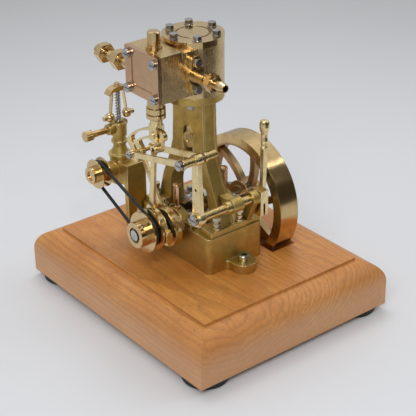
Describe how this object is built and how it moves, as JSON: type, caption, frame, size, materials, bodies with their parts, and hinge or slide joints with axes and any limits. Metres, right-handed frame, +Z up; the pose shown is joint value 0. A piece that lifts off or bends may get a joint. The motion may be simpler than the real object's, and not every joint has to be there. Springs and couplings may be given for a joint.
{
  "type": "model steam engine",
  "caption": "Vertical single-cylinder model steam engine with flywheel, link reversing gear and belt-driven governor, on a wooden base with rubber feet.",
  "frame": {"origin": "centre of the rectangle that the wooden base covers, at the bottom of the rubber feet", "axes": "+Z up; X along the crankshaft, with the flywheel on the +X side and the valve gear and belt pulley on the -X side; the exhaust points to -Y and the governor stands on the +Y side"},
  "size_m": [0.125, 0.15, 0.1576],
  "materials": {
    "beech": "planed beech with an oiled, satin face",
    "foot_rubber": "matte moulded rubber",
    "belt_rubber": "smooth round rubber cord",
    "cast_brass": "bead-blasted casting, matte olive gold",
    "machined_brass": "satin, fine tool marks",
    "polished_brass": "turned and polished",
    "flywheel_brass": "turned bright rim, browner cast sides",
    "bearing_bronze": "bronze, dull turned",
    "steel": "bright steel, lightly brushed"
  },
  "bodies": {
    "engine_frame": {"base_board": "beech", "rubber_feet": "foot_rubber", "bedplate": "cast_brass", "bed_screws": "steel", "column": "cast_brass", "stud_nuts": "steel", "main_bushes": "bearing_bronze", "bearing_caps": "cast_brass", "oil_cups": "polished_brass", "cylinder": "machined_brass", "cylinder_cover": "machined_brass", "cover_bolts": "steel", "hex_bolts": "steel", "steam_chest": "machined_brass", "chest_cover": "machined_brass", "chest_cover_bolts": "steel", "gland_nuts": "polished_brass", "tail_guide": "polished_brass", "exhaust_pipe": "polished_brass", "inlet_pipe": "polished_brass", "union_nuts": "polished_brass", "weighshaft_brackets": "cast_brass", "governor_frame": "machined_brass", "drive_belt": "belt_rubber"},
    "crank": {"crankshaft": "steel", "flywheel": "flywheel_brass", "crank_pulley": "polished_brass", "grub_screws": "steel", "eccentric_sheaves": "steel"},
    "ahead_liner": {"ahead_liner": "bearing_bronze"},
    "astern_liner": {"astern_liner": "bearing_bronze"},
    "ahead_gear": {"ahead_rod": "machined_brass", "ahead_strap_cap": "machined_brass"},
    "astern_gear": {"astern_rod": "machined_brass", "astern_strap_cap": "machined_brass"},
    "con_rod": {"connecting_rod": "steel", "big_end_cap": "machined_brass", "big_end_bolts": "steel"},
    "piston_group": {"crosshead": "machined_brass", "piston_rod": "steel", "piston": "machined_brass"},
    "valve_group": {"valve_spindle": "steel", "valve_fork": "machined_brass", "die_block": "steel", "slide_valve": "machined_brass"},
    "link": {"expansion_link": "machined_brass"},
    "reverser": {"weighshaft": "polished_brass", "lifting_arm": "machined_brass", "lifting_pin": "polished_brass", "shaft_end_screws": "steel", "reversing_lever": "machined_brass"},
    "drag_pair": {"drag_links": "machined_brass", "drag_link_screws": "steel"},
    "governor_drive": {"governor_pulley": "polished_brass"},
    "governor_head": {"governor_spindle": "steel", "governor_coil": "steel", "governor_springs": "machined_brass", "governor_weights": "polished_brass", "governor_cap": "polished_brass"},
    "speed_adjuster": {"speed_knob": "polished_brass"}
  },
  "joints": [
    {"name": "crank_turn", "type": "hinge", "parent": "engine_frame", "child": "crank", "pos_m": [0, 0, 0.051], "axis": [1, 0, 0], "continuous": true},
    {"name": "con_rod_swing", "type": "hinge", "parent": "crank", "child": "con_rod", "pos_m": [-0.0061, 0, 0.058], "axis": [1, 0, 0], "continuous": true},
    {"name": "ahead_liner_turn", "type": "hinge", "parent": "crank", "child": "ahead_liner", "pos_m": [-0.0324, 0.0022, 0.0506], "axis": [1, 0, 0], "continuous": true},
    {"name": "astern_liner_turn", "type": "hinge", "parent": "crank", "child": "astern_liner", "pos_m": [-0.0268, -0.0022, 0.0506], "axis": [1, 0, 0], "continuous": true},
    {"name": "ahead_rod_swing", "type": "hinge", "parent": "ahead_liner", "child": "ahead_gear", "pos_m": [-0.0324, 0.0022, 0.0506], "axis": [1, 0, 0], "range_deg": [0, 18.4]},
    {"name": "astern_rod_swing", "type": "hinge", "parent": "astern_liner", "child": "astern_gear", "pos_m": [-0.0268, -0.0022, 0.0506], "axis": [1, 0, 0], "range_deg": [0, 18.4]},
    {"name": "piston_stroke", "type": "slide", "parent": "engine_frame", "child": "piston_group", "axis": [0, 0, 1], "range_m": [-0.014, 0]},
    {"name": "valve_travel", "type": "slide", "parent": "engine_frame", "child": "valve_group", "axis": [0, 0, 1], "range_m": [-0.0035, 0.0008]},
    {"name": "link_shift", "type": "hinge", "parent": "valve_group", "child": "link", "pos_m": [-0.03, -0.00469, 0.06872], "axis": [1, 0, 0], "range_deg": [0, 30]},
    {"name": "reversing_lever_swing", "type": "hinge", "parent": "engine_frame", "child": "reverser", "pos_m": [0, -0.03, 0.0668], "axis": [1, 0, 0], "range_deg": [0, 25]},
    {"name": "drag_link_swing", "type": "hinge", "parent": "reverser", "child": "drag_pair", "pos_m": [-0.03, -0.0295, 0.0993], "axis": [1, 0, 0], "range_deg": [-14.2, 0]},
    {"name": "governor_pulley_turn", "type": "hinge", "parent": "engine_frame", "child": "governor_drive", "pos_m": [-0.03, 0.0423, 0.0681], "axis": [1, 0, 0], "continuous": true},
    {"name": "governor_turn", "type": "hinge", "parent": "engine_frame", "child": "governor_head", "pos_m": [-0.024, 0.0423, 0.091], "axis": [0, 0, 1], "continuous": true},
    {"name": "speed_knob_turn", "type": "hinge", "parent": "engine_frame", "child": "speed_adjuster", "pos_m": [-0.035, 0.0423, 0.0912], "axis": [1, 0, 0], "range_deg": [-180, 180]}
  ],
  "couplings": [
    {"joint": "con_rod_swing", "follows": "crank_turn", "ratio": -1},
    {"joint": "ahead_liner_turn", "follows": "crank_turn", "ratio": -1},
    {"joint": "astern_liner_turn", "follows": "crank_turn", "ratio": -1},
    {"joint": "governor_pulley_turn", "follows": "crank_turn", "ratio": 1.3125},
    {"joint": "governor_turn", "follows": "crank_turn", "ratio": 1.3125},
    {"joint": "link_shift", "follows": "reversing_lever_swing", "ratio": 1.192},
    {"joint": "drag_link_swing", "follows": "reversing_lever_swing", "ratio": -0.56},
    {"joint": "ahead_rod_swing", "follows": "reversing_lever_swing", "ratio": 0.732},
    {"joint": "astern_rod_swing", "follows": "reversing_lever_swing", "ratio": 0.732}
  ]
}
